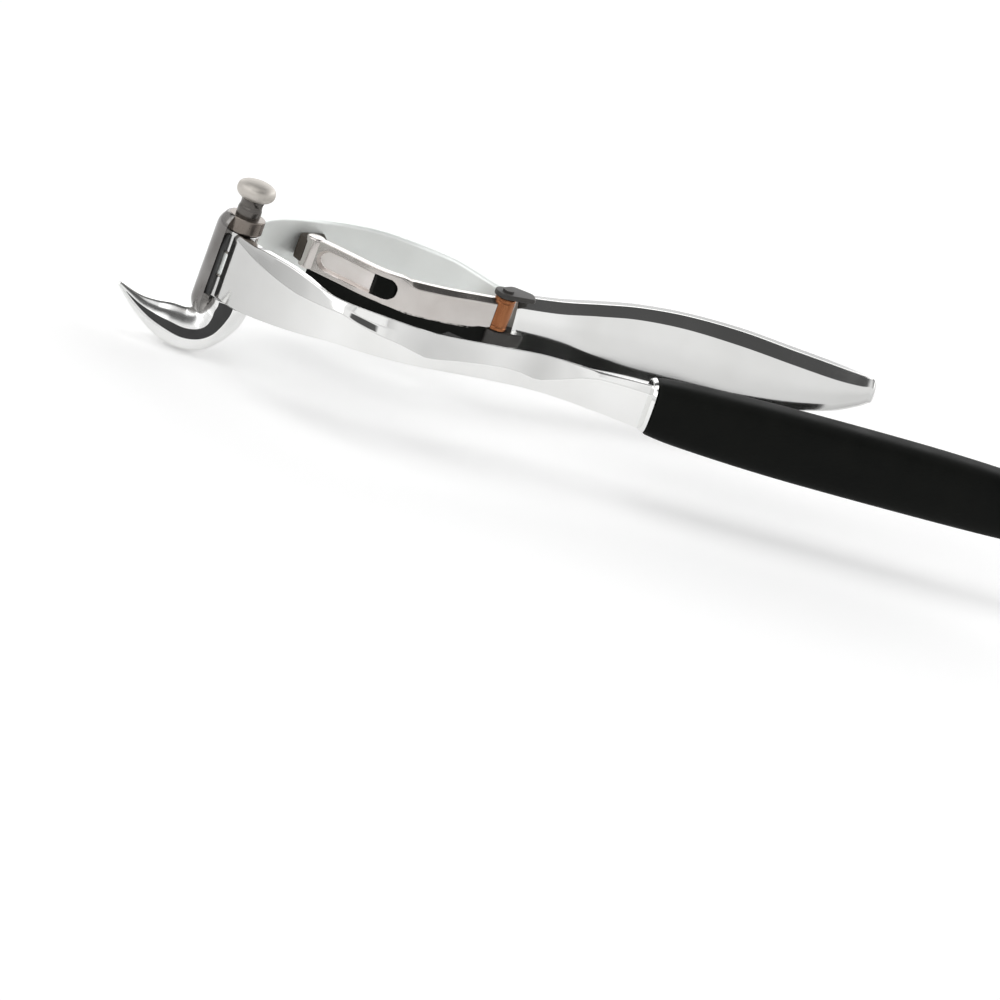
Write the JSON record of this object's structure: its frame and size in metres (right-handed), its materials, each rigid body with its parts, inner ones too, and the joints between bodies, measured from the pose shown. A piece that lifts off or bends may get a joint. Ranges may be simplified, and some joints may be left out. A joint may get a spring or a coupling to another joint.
{
  "type": "champagne opener",
  "caption": "Two-armed champagne cork pliers with a curved cork seat, a swinging jaw, a wire hook at the hinge, a push knob, a chrome lever and a soft black grip.",
  "frame": {"origin": "centre of the gripped cork, on the axis of the cork seat, halfway up the arms", "axes": "+X along the tool from the hinge to the handle ends, +Z along the cork and hinge axes towards the knob, -Y towards the black grip"},
  "size_m": [0.1988, 0.0706, 0.0393],
  "materials": {
    "chrome": "polished",
    "nickel": "satin",
    "steel": "satin",
    "copper": "polished",
    "black_rubber": "matte",
    "black_plastic": "matte"
  },
  "bodies": {
    "grip_side": {"grip_arm": "chrome", "cork_pad": "black_rubber", "hinge_sleeve": "steel", "hinge_washers": "nickel", "arm_spring": "steel", "wire_hook": "chrome", "hook_dowel": "steel", "grip_ferrule": "chrome", "grip_core": "black_plastic", "grip_sleeve": "black_rubber", "grip_cap": "black_plastic", "tang_screw": "steel", "knob_spring": "steel"},
    "lever_side": {"lever_arm": "chrome", "lever_shell": "chrome", "jaw_pin": "steel", "jaw_bumper": "black_rubber"},
    "jaw": {"clamp_jaw": "chrome", "jaw_bush": "copper", "jaw_pad": "black_rubber", "jaw_guard": "black_rubber"},
    "knob": {"lock_knob": "nickel", "lock_rod": "steel", "lock_key": "steel"}
  },
  "joints": [
    {"name": "lever_squeeze", "type": "hinge", "parent": "grip_side", "child": "lever_side", "pos_m": [-0.031, 0.007, 0], "axis": [0, 0, 1], "range_deg": [-16, 8], "stiffness_Nm_per_rad": 0.6},
    {"name": "jaw_swing", "type": "hinge", "parent": "lever_side", "child": "jaw", "pos_m": [0.0296, 0.0218, 0], "axis": [0, 0, 1], "range_deg": [-2, 0], "stiffness_Nm_per_rad": 2, "deforming": ["jaw_bumper"]},
    {"name": "knob_press", "type": "slide", "parent": "grip_side", "child": "knob", "axis": [0, 0, 1], "range_m": [-0.002, 0], "stiffness_N_per_m": 300, "deforming": ["knob_spring"]}
  ]
}
